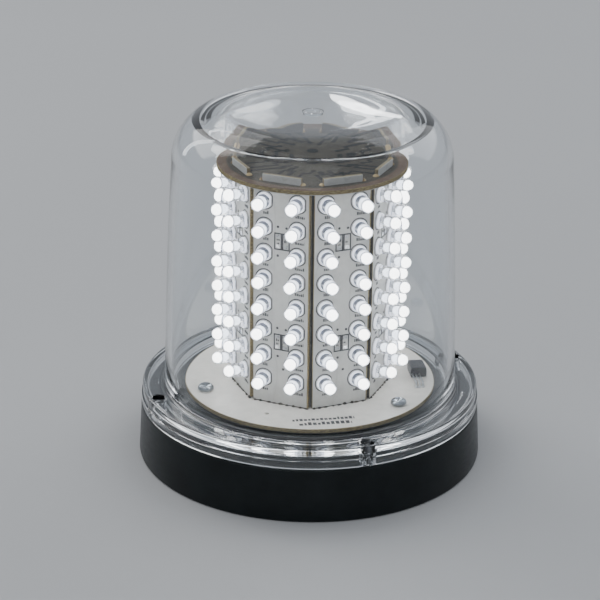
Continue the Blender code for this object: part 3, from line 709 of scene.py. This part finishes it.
def make_dome():
    top = LENS_TOP
    shoulder_z = top - SHOULDER
    shoulder_r = dome_radius(shoulder_z) - SHOULDER
    under = top - CROWN
    within, beyond = RING_MARK
    inner = [(0.0, under), (within, under), (within + 0.2, under - 0.9)]
    inner += [(beyond - 0.2, under - 0.9), (beyond, under), (24.0, under)]
    # The thick crown ends in a low ridge, where the thinner shoulder begins.
    inner += arc((CROWN_FLAT, under - CROWN_BEND), CROWN_BEND, 90.0, 48.0, 14)
    inner += [(39.7, top - 8.0), (40.1, top - 8.0), (42.0, top - 7.05)]
    inner += [(42.8, top - 6.2), (43.3, top - 5.6)]
    inner += arc((shoulder_r, shoulder_z), SHOULDER - WALL + 0.1, 53.0, 0.0, 20)
    for step in range(1, 9):
        z = shoulder_z - step * 10.0
        inner.append((min(dome_radius(z) - WALL, FOOT_INNER), z))
    inner += [(FOOT_INNER, SHELF_TOP), (FOOT_INNER, FLANGE_BOTTOM + 0.2)]
    inner += [(FOOT_INNER + 0.2, FLANGE_BOTTOM)]
    inner += [(FOOT_OUTER + 0.2, FLANGE_BOTTOM), (FOOT_OUTER + 0.4, FLANGE_BOTTOM + 0.2)]
    inner += arc((FOOT_OUTER + 1.2, SHELF_UNDER - 0.8), 0.8, 180.0, 90.0, 4)
    inner += arc((SKIRT_INNER - 0.8, SHELF_UNDER - 0.8), 0.8, 90.0, 0.0, 4)
    outer = [(SKIRT_INNER, FLANGE_BOTTOM + 0.2), (SKIRT_INNER + 0.2, FLANGE_BOTTOM)]
    outer += arc((FLANGE_RADIUS - 0.35, FLANGE_BOTTOM + 0.35), 0.35, -90.0, 0.0, 3)
    outer += [(FLANGE_RADIUS, 23.7), (FLANGE_RADIUS - 0.1, 24.0), (FLANGE_RADIUS - 0.55, 24.3)]
    outer += arc((FLANGE_RADIUS - 1.4, SHELF_TOP - 0.9), 0.9, 0.0, 90.0, 5)
    outer += [(FOOT_OUTER + 2.2, SHELF_TOP)]
    outer += arc((FOOT_OUTER + 1.5, SHELF_TOP + 1.4), 1.4, 250.0, 180.0, 5)
    for step in range(1, 10):
        z = SHELF_TOP + 2.0 + step * 9.6
        outer.append((dome_radius(z), z))
    outer += arc((shoulder_r, shoulder_z), SHOULDER, 2.0, 90.0, 24)
    outer += [(20.0, top), (0.0, top)]
    mesh = Build().add(turned_data(inner + outer, FULL)).mesh("clear_dome")
    posts, holes = Build(), Build()
    for bearing in POST_BEARINGS:
        at = Matrix.Translation(polar(POST_CIRCLE, bearing))
        low, high = FLANGE_BOTTOM + 0.15, SHELF_TOP - 1.0
        post = [(0.0, low), (POST_RADIUS - 0.2, low), (POST_RADIUS, low + 0.2)]
        post += [(POST_RADIUS, high), (0.0, high)]
        posts.add(turned_data(post, 40), at)
        hole = [(0.0, 10.0), (1.6, 10.0), (1.6, POST_FLOOR), (2.4, POST_FLOOR), (2.4, SHELF_TOP - 0.3)]
        hole += [(2.8, SHELF_TOP + 0.1), (2.8, 40.0), (0.0, 40.0)]
        holes.add(turned_data(hole, 40), at)
    mesh = carve(mesh, posts.mesh("posts"), "UNION")
    mesh = carve(mesh, holes.mesh("post_holes"), "DIFFERENCE")
    mesh.materials.clear()
    put("clear_dome", mesh, M_DOME, ["dome_lens"], sharp=28.0)


# ---------------------------------------------------------------- boards


def board_turn(bearing):
    return Matrix.Rotation(math.radians(bearing), 4, "Z")


def make_round_boards():
    mesh = Build().add(disc_data(LOWER_RADIUS, LOWER_UNDER, LOWER_TOP)).mesh("lower_board")
    holes = Build()
    low, high = 20.0, 40.0  # well past the lower board's faces
    holes.add(disc_data(0.8, low, high, 16), Matrix.Translation(polar(38.7, -24.0)))
    for bearing in SCREW_BEARINGS:
        holes.add(disc_data(1.7, low, high, 32), Matrix.Translation(polar(SCREW_CIRCLE, bearing)))
    mesh = carve(mesh, holes.mesh("lower_holes"), "DIFFERENCE")
    put("lower_board", mesh, M_LOWER, ["bottom_board"], bevel=0.1)

    mesh = Build().add(disc_data(UPPER_RADIUS, UPPER_UNDER, UPPER_TOP)).mesh("upper_board")
    slots = Build()
    middle = APOTHEM - 0.5 * BOARD_THICK
    low = (-TAB_HALF - STAND_OFF, -middle - 1.1, 110.0)
    high = (TAB_HALF + STAND_OFF, -middle + 1.1, 120.0)
    for bearing in BEARINGS:
        slots.add(box_data(low, high), board_turn(bearing))
    mesh = carve(mesh, slots.mesh("upper_slots"), "DIFFERENCE")
    put("upper_board", mesh, M_UPPER, ["top_board"], bevel=0.1)


def on_face(bearing, x=0.0, z=0.0, depth=0.0):
    """Lays X and Y drawings on an LED board: X across it, Y up, Z out of its face; depth is inwards."""
    at = board_turn(bearing) @ Matrix.Translation((x, -APOTHEM + depth, z))
    return at @ Matrix.Rotation(math.pi / 2.0, 4, "X")


def make_led_boards():
    foot, head = LOWER_TOP + STAND_OFF, UPPER_UNDER - STAND_OFF
    half = [(FOOT_TAB_HALF, LOWER_UNDER + STAND_OFF), (FOOT_TAB_HALF, foot)]
    half += [(BOARD_HALF, foot), (BOARD_HALF, head), (TAB_HALF, head), (TAB_HALF, UPPER_TOP + TAB_RISE)]
    outline = half + [(-x, z) for x, z in reversed(half)]
    stand = on_face(0.0, depth=BOARD_THICK)
    mesh = Build().add(prism_data(outline, BOARD_THICK), stand).mesh("upright_board")
    for number, bearing in enumerate(BEARINGS, 1):
        turn, replaced = board_turn(bearing), [f"led_board_{number}"]
        put(f"upright_board_{number}", mesh, M_LED_BOARD, replaced, turn, bevel=0.12)


INK = 0.05  # thickness of the printed ink


class Print:
    """Thin ink shapes, drawn in X and Y and laid on a face."""

    def __init__(self):
        self.build = Build()

    def bar(self, x0, x1, y0, y1, lay):
        self.build.add(box_data((x0, y0, 0.0), (x1, y1, INK)), lay)

    def frame(self, x0, x1, y0, y1, line, lay):
        self.bar(x0, x1, y0, y0 + line, lay)
        self.bar(x0, x1, y1 - line, y1, lay)
        self.bar(x0, x0 + line, y0 + line, y1 - line, lay)
        self.bar(x1 - line, x1, y0 + line, y1 - line, lay)

    def disc(self, x, y, radius, lay, steps=14):
        outline = []
        for step in range(steps):
            angle = 2.0 * math.pi * step / steps
            outline.append((x + radius * math.cos(angle), y + radius * math.sin(angle)))
        self.build.add(prism_data(outline, INK), lay)

    def ring(self, x, y, radius, line, lay, flat):
        """A circle with one flat side, as drawn round an LED's flange."""
        profile = [(radius - line, 0.0), (radius, 0.0), (radius, INK), (radius - line, INK)]
        verts, faces = turned_data(profile, 36)
        for v in verts:
            outer = math.hypot(v.x, v.y) > radius - 0.5 * line
            v.x = min(v.x, flat if outer else flat - line)
        self.build.add((verts, faces), lay @ Matrix.Translation((x, y, 0.0)))

    def dashes(self, x, y, width, height, lay, seed):
        """A short row of plain dashes where the real board has lettering."""
        rng = random.Random(seed)
        at = x
        while at < x + width:
            run = min(rng.uniform(0.35, 0.6) * height, x + width - at)
            self.bar(at, at + run, y, y + height * rng.choice((0.65, 0.8, 1.0)), lay)
            at += run + 0.2 * height


RING_RADIUS, RING_LINE, RING_FLAT = 3.6, 0.42, 3.15  # the printed circle round an LED
FRAMES_AT = (51.3, 91.1)  # lower edges of the printed frames
FRAME_SPANS = ((-2.75, 0.3), (0.35, 3.4))  # two frames side by side
FRAME_HEIGHT, FRAME_LINE = 6.6, 0.5
VIAS = ((-1.3, 100.0), (2.1, 99.8), (-1.3, 88.9), (-1.3, 60.2), (2.1, 59.9), (-1.1, 48.9), (1.1, 43.8))
VIA_RADIUS = 0.5
FOOT_PRINT_TURN = 8.5  # bearing of the two rows of dashes on the lower board


def print_board(printed, number, lay):
    """The marks on one LED board; number is the board's own, and seeds its dashes."""
    for row, z in enumerate(ROWS):
        for side, start, width in ((-1.0, -0.6, 2.1), (1.0, -1.0, 3.6)):
            printed.ring(side * COLUMN, z, RING_RADIUS, RING_LINE, lay, RING_FLAT)
            seed = 100 * number + 10 * row + int(side)
            printed.dashes(side * COLUMN + start, z - 5.3, width, 1.2, lay, seed)
    for low in FRAMES_AT:
        for x0, x1 in FRAME_SPANS:
            printed.frame(x0, x1, low, low + FRAME_HEIGHT, FRAME_LINE, lay)
        seed = number + int(low)
        printed.dashes(-1.8, low + 3.6, 1.2, 1.1, lay, seed)
        printed.dashes(-1.7, low + 2.2, 0.9, 0.8, lay, seed + 9)
        printed.dashes(1.2, low + 3.0, 0.9, 1.0, lay, seed + 17)
    printed.dashes(1.6, 112.6, 1.3, 1.1, lay, number + 31)
    for x, z in VIAS:
        printed.disc(x, z, VIA_RADIUS, lay)


def make_print():
    printed = Print()
    for number, bearing in enumerate(BEARINGS, 1):
        print_board(printed, number, on_face(bearing))
    lay = board_turn(FOOT_PRINT_TURN) @ Matrix.Translation((0.0, 0.0, LOWER_TOP))
    printed.dashes(-12.4, -40.7, 23.0, 2.2, lay, 1)
    printed.dashes(-10.4, -44.5, 19.5, 2.4, lay, 2)
    put("board_print", printed.build.mesh("board_print"), M_INK)


def make_tracks():
    """Copper tracks under the head board's mask, from each slot inwards, with round pads."""
    rng = random.Random(11)
    tracks = Print()
    slot_side = -26.2  # Y of the slot's inner edge
    for bearing in BEARINGS:
        lay = board_turn(bearing) @ Matrix.Translation((0.0, 0.0, UPPER_TOP))
        for start in (-6.0, -1.5, 3.0):
            x = start + rng.uniform(-0.8, 0.8)
            bend = -rng.uniform(13.0, 21.0)
            end = x + rng.choice((-1.0, 1.0)) * rng.uniform(1.5, 4.0)
            width = rng.uniform(1.0, 1.6)
            stop = min(bend + rng.uniform(3.0, 8.0), -7.5)
            tracks.bar(x, x + width, slot_side, bend, lay)
            tracks.bar(min(x, end), max(x, end) + width, bend, bend + width, lay)
            tracks.bar(end, end + width, bend + width, stop, lay)
            tracks.disc(x + 0.5 * width, slot_side, 1.2, lay)
            tracks.disc(end + 0.5 * width, stop, 1.0, lay)
    tracks.disc(0.0, 0.0, 2.2, Matrix.Translation((0.0, 0.0, UPPER_TOP)), 24)
    put("head_tracks", tracks.build.mesh("head_tracks"), M_TRACK)


def make_pads():
    """Bare tinned pads in the printed frames, two to a frame, with nothing fitted on them."""
    pads = Build()
    for bearing in BEARINGS:
        for low in FRAMES_AT:
            for x in (-1.21, 1.81):
                for z in (low + 0.75, low + 4.7):
                    lay = board_turn(bearing) @ Matrix.Translation((x, -APOTHEM, z))
                    pads.add(box_data((-0.85, -0.06, 0.0), (0.85, 0.0, 1.2)), lay)
    put("resistor_pads", pads.mesh("resistor_pads"), M_TIN)


def blob(radii, seed, steps=14, rings=5):
    """A low uneven drop of solder standing on z = 0."""
    verts, faces = [], []
    for ring in range(rings):
        angle = 0.5 * math.pi * ring / rings
        for step in range(steps):
            turn = 2.0 * math.pi * step / steps
            x, y = math.cos(turn), math.sin(turn)
            reach = math.cos(angle) * (1.0 + 0.18 * noise.noise(Vector((x * 2, y * 2, seed))))
            verts.append(Vector((radii[0] * reach * x, radii[1] * reach * y, radii[2] * math.sin(angle))))
    verts.append(Vector((0.0, 0.0, radii[2])))
    for ring in range(rings - 1):
        for step in range(steps):
            after = (step + 1) % steps
            a, b = ring * steps, (ring + 1) * steps
            faces.append((a + step, a + after, b + after, b + step))
    last = (rings - 1) * steps
    for step in range(steps):
        faces.append((last + step, last + (step + 1) % steps, len(verts) - 1))
    faces.append(tuple(reversed(range(steps))))
    return verts, faces


def make_solder():
    """Joints at the head tabs' ends, and along each LED board's foot drops of dark solder and a thin dark
    strip of painted shadow in the gap.
    """
    joints, seam_and_shadow = Build(), Build()
    seed = 0.0
    for bearing in BEARINGS:
        turn = board_turn(bearing)
        for side in (-1.0, 1.0):
            seed += 1.7
            at = turn @ Matrix.Translation((side * (TAB_HALF + 0.5), -APOTHEM + 0.8, UPPER_TOP - 0.05))
            joints.add(blob((1.0, 1.2, 0.9), seed), at)
        # A thin dark strip in the gap under the board: painted shadow.
        low, high = (-10.8, -APOTHEM - 0.12, LOWER_TOP), (10.8, -APOTHEM + 0.3, LOWER_TOP + 0.27)
        seam_and_shadow.add(box_data(low, high), turn)
        for step in range(9):
            seed += 1.3
            x = -10.0 + 20.0 * step / 8.0 + random.uniform(-0.7, 0.7)
            size = random.uniform(0.45, 1.1)
            at = turn @ Matrix.Translation((x, -APOTHEM - 0.1, LOWER_TOP - 0.02))
            seam_and_shadow.add(blob((size, 0.6, random.uniform(0.4, 0.9)), seed, 10, 3), at)
    put("solder_joints", joints.mesh("solder_joints"), M_SOLDER)
    put("solder_seam_and_shadow", seam_and_shadow.mesh("solder_seam_and_shadow"), M_SEAM_AND_SHADOW)


# ---------------------------------------------------------------- LEDs


LED_FLAT = 2.55  # the flange is cut flat at this distance, on the cathode's side
LENS_RADIUS = 2.45
LENS_BARREL = 6.1  # height at which the domed end begins
LENS_DOME = 2.4


def cut_flat(data, reach, top):
    """Pushes what lies beyond a plane in X back onto it, up to a height."""
    for v in data[0]:
        if v.z < top:
            v.x = min(v.x, reach)
    return data


def lens_data():
    """One LED's clear body on z = 0: flange, barrel and domed end."""
    profile = [(0.0, 0.0), (2.7, 0.0), (2.9, 0.15), (2.9, 0.85), (2.78, 1.0), (2.52, 1.02), (2.47, 1.25)]
    profile.append((LENS_RADIUS, LENS_BARREL))
    for step in range(1, 8):
        angle = math.radians(90.0 * step / 8.0)
        profile.append((LENS_RADIUS * math.cos(angle), LENS_BARREL + LENS_DOME * math.sin(angle)))
    profile.append((0.0, LENS_BARREL + LENS_DOME))
    return cut_flat(turned_data(profile, 32), LED_FLAT, 1.01)


def led_inside():
    """What shows inside one clear LED: flange rim, a dark floor and collar of painted shade, lead frame,
    lit core, bright tip.
    """
    profile = [(2.25, 0.12), (2.74, 0.12), (2.8, 0.2), (2.8, 0.8), (2.7, 0.9), (2.25, 0.9)]
    rim = cut_flat(turned_data(profile, 32), LED_FLAT - 0.1, 1.0)
    frame_part = Build()
    # The cathode's post widens to an anvil that carries the reflector cup.
    outline = [(0.35, -1.9), (1.5, -1.9), (1.5, 1.6), (1.1, 2.1), (-0.5, 2.1), (-0.5, 1.7), (0.35, 1.2)]
    stand = Matrix.Translation((0.0, 0.25, 0.0)) @ Matrix.Rotation(math.pi / 2.0, 4, "X")
    frame_part.add(prism_data(outline, 0.5), stand)
    outline = [(-1.5, -1.9), (-0.95, -1.9), (-0.95, 2.4), (-1.5, 2.4)]
    frame_part.add(prism_data(outline, 0.5), stand)
    # A dark disc in the flange's floor: painted shade.
    shade_seat = Build().add(disc_data(2.15, 0.12, 0.24, 24))
    # A thin dark collar, painted shade, parts the core from the tip.
    shade_seat.add(disc_data(1.25, 4.65, 4.85, 24))
    core = turned_data([(0.0, 2.2), (0.6, 2.2), (1.05, 3.0), (1.1, 4.2), (0.8, 4.5), (0.0, 4.5)], 24)
    tip = [(0.0, 5.0), (0.8, 5.0), (1.25, 5.5), (1.4, 6.2), (1.25, 6.9), (0.8, 7.4), (0.0, 7.6)]
    return rim, shade_seat.data(), frame_part.data(), core, turned_data(tip, 24)


def make_leds():
    lens = lens_data()
    rim, shade_seat, frame_part, core, tip = led_inside()
    lenses, rims, shade_seats, metals, cores, tips = [Build() for _ in range(6)]
    names = []
    for number, bearing in enumerate(BEARINGS, 1):
        names += [f"led_string_{number}a", f"led_string_{number}b"]
        turn = board_turn(bearing)
        for side in (-1.0, 1.0):
            for z in ROWS:
                at = on_face(bearing, side * COLUMN, z, -STAND_OFF)
                at = at @ Matrix.Rotation(math.radians(random.uniform(-2.0, 2.0)), 4, "X")
                at = at @ Matrix.Rotation(math.radians(random.uniform(-2.5, 2.5)), 4, "Y")
                lenses.add(lens, at)
                rims.add(rim, at)
                shade_seats.add(shade_seat, at)
                metals.add(frame_part, at)
                cores.add(core, at)
                tips.add(tip, at)
                for leg in (-1.2, 1.2):
                    joint = turn @ Matrix.Translation((side * COLUMN + leg, -APOTHEM + BOARD_THICK, z))
                    joint = joint @ Matrix.Rotation(-math.pi / 2.0, 4, "X")
                    metals.add(blob((0.8, 0.8, 0.7), number + z, 8, 3), joint)
    pieces = (("led_lenses", lenses, M_EPOXY), ("led_rims", rims, M_RIM), ("led_seats_painted_shade", shade_seats, M_PAINTED_SHADE_SEAT))
    pieces += (("led_frames", metals, M_TIN), ("led_cores", cores, M_CORE), ("led_tips", tips, M_TIP))
    for name, build, material in pieces:
        put(name, build.mesh(name), material, names, sharp=35.0)


# ---------------------------------------------------------------- parts on the boards


def swept(path, width, thick):
    """A flat strip of rectangular section along a path in Y and Z, centred on X."""
    verts, faces = [], []
    for index, (y, z) in enumerate(path):
        before, after = path[max(index - 1, 0)], path[min(index + 1, len(path) - 1)]
        along = Vector((after[0] - before[0], after[1] - before[1])).normalized()
        across = Vector((-along.y, along.x)) * (0.5 * thick)
        for x, side in ((-0.5, 1), (0.5, 1), (0.5, -1), (-0.5, -1)):
            verts.append(Vector((x * width, y + side * across.x, z + side * across.y)))
    for index in range(len(path) - 1):
        a, b = 4 * index, 4 * index + 4
        for corner in range(4):
            after = (corner + 1) % 4
            faces.append((a + corner, a + after, b + after, b + corner))
    faces += [(3, 2, 1, 0), tuple(len(verts) - 4 + corner for corner in range(4))]
    return verts, faces


REGULATOR_AT, REGULATOR_TURN = (42.4, -1.5, 0.0), 6.5
REGULATOR_HALF, REGULATOR_LENGTH, REGULATOR_HEIGHT = 3.15, 8.0, 4.0
LEAD_Z, LEAD_END = 31.0, -8.6  # height of the leads' straight run, and Y where they turn down
LEAD_BEND = 0.9


def make_regulator():
    foot = LOWER_TOP + STAND_OFF
    top, half = foot + REGULATOR_HEIGHT, REGULATOR_HALF
    at = Matrix.Translation(REGULATOR_AT) @ Matrix.Rotation(math.radians(REGULATOR_TURN), 4, "Z")
    outline = [(-half, foot), (half, foot), (half, foot + 2.6)]
    outline += [(half - 0.2, top), (0.2 - half, top), (-half, foot + 2.6)]
    stand = at @ Matrix.Translation((0.0, REGULATOR_LENGTH, 0.0)) @ Matrix.Rotation(math.pi / 2.0, 4, "X")
    body = Build().add(prism_data(outline, REGULATOR_LENGTH), stand)
    put("regulator_body", body.mesh("regulator_body"), M_EPOXY_BLACK, ["regulator"], bevel=0.3)
    leads = Build()
    path = [(0.6, LEAD_Z), (-3.0, LEAD_Z), (LEAD_END + LEAD_BEND, LEAD_Z)]
    for step in range(1, 7):
        angle = math.radians(15.0 * step)
        y = LEAD_END + LEAD_BEND * (1 - math.sin(angle))
        path.append((y, LEAD_Z - LEAD_BEND * (1 - math.cos(angle))))
    path.append((LEAD_END, LOWER_TOP - 1.25))
    for offset in (-2.6, -1.3, 0.0):
        leads.add(swept(path, 0.62, 0.5), at @ Matrix.Translation((offset, 0.0, 0.0)))
        joint = at @ Matrix.Translation((offset, LEAD_END, LOWER_TOP - 0.02))
        leads.add(blob((0.75, 0.75, 0.7), offset, 12, 4), joint)
    put("regulator_leads", leads.mesh("regulator_leads"), M_TIN, ["regulator"])


def make_driver():
    """Hidden electronics keep their CAD solids, with their own materials."""
    painted = {
        "driver_board": M_GREEN,
        "terminal_block": M_TERMINAL,
        "capacitor": M_EPOXY_BLACK,
        "driver_screw_1": M_ZINC,
        "driver_screw_2": M_ZINC,
    }
    for name, material in painted.items():
        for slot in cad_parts[name].material_slots:
            slot.material = material


# ---------------------------------------------------------------- stage


def make_floor():
    p = Paint("pale_floor")
    p.set("Roughness", 0.6)
    cloud = p.noise(3.0, 3.0, 0.5)
    p.link(p.mix(cloud, (0.50, 0.505, 0.51), (0.54, 0.545, 0.55)), "Base Color")
    half = 4000.0
    mesh = Build().add(box_data((-half, -half, -20.0), (half, half, 0.0))).mesh("floor")
    floor = bpy.data.objects.new("floor", mesh)
    mesh.materials.append(p.material)
    bpy.context.scene.collection.objects.link(floor)


def area_light(name, at, target, size, power, colour, shape="RECTANGLE", roll=0.0):
    """A lamp in metres and watts; roll turns it about its own beam."""
    data = bpy.data.lights.new(name, "AREA")
    data.shape = shape
    data.size, data.size_y = size
    data.energy = power
    data.color = colour
    lamp = bpy.data.objects.new(name, data)
    lamp.location = at
    lamp.rotation_mode = "QUATERNION"
    turn = (Vector(target) - Vector(at)).to_track_quat("-Z", "Y").to_matrix()
    lamp.rotation_quaternion = (turn @ Matrix.Rotation(math.radians(roll), 3, "Z")).to_quaternion()
    bpy.context.scene.collection.objects.link(lamp)


def make_light():
    world = bpy.data.worlds.new("studio")
    bpy.context.scene.world = world
    world.use_nodes = True
    back = world.node_tree.nodes["Background"]
    back.inputs["Color"].default_value = (0.72, 0.76, 0.82, 1.0)
    back.inputs["Strength"].default_value = 0.7
    middle = (0.0, 0.0, 0.07)
    warm = (1.0, 0.985, 0.96)
    area_light("soft", (-0.4, -1.1, 1.15), middle, (1.7, 1.7), 3.5, warm)
    area_light("key", (-0.95, 0.67, 1.05), middle, (1.1, 1.1), 7.0, warm)
    area_light("fill", (0.85, 0.75, 0.9), middle, (1.1, 1.1), 4.0, (0.95, 0.97, 1.0))
    area_light("rim", (-0.95, 0.75, 0.55), middle, (0.05, 0.9), 1.0, (0.93, 0.96, 1.0))
    # Two narrow lamps behind give the dome's flat top its streaks of light.
    crown = (0.0, 0.0, 0.135)
    right, left = (0.06, 1.0, 0.44), (-0.047, 1.0, 0.437)
    area_light("strip_right", right, crown, (0.085, 0.009), 0.016, (0.96, 0.98, 1.0), "ELLIPSE", -18.0)
    area_light("strip_left", left, crown, (0.05, 0.01), 0.0014, (0.9, 0.95, 1.0), "ELLIPSE", 12.0)


CAMERA_AT = (-0.00408, -0.7034, 0.34806)
CAMERA_PITCH, CAMERA_ROLL = 22.24, -0.6  # degrees downwards, and about the view
CAMERA_LENS = 119.0


def make_camera():
    pitch, roll = math.radians(CAMERA_PITCH), math.radians(CAMERA_ROLL)
    forward = Vector((0.0, math.cos(pitch), -math.sin(pitch)))
    level_up = Vector((0.0, math.sin(pitch), math.cos(pitch)))
    level_right = Vector((1.0, 0.0, 0.0))
    up = math.cos(roll) * level_up + math.sin(roll) * level_right
    right = math.cos(roll) * level_right - math.sin(roll) * level_up
    data = bpy.data.cameras.new("camera")
    data.sensor_width = 36.0
    data.lens = CAMERA_LENS
    data.clip_start, data.clip_end = 0.05, 20.0
    camera = bpy.data.objects.new("camera", data)
    turn = Matrix((right, up, -forward)).transposed().to_4x4()
    camera.matrix_world = Matrix.Translation(CAMERA_AT) @ turn
    bpy.context.scene.collection.objects.link(camera)
    bpy.context.scene.camera = camera


make_base()
make_underside()
make_screws()
make_dome()
make_round_boards()
make_led_boards()
make_print()
make_tracks()
make_pads()
make_solder()
make_leds()
make_regulator()
make_driver()
make_floor()
make_light()
make_camera()
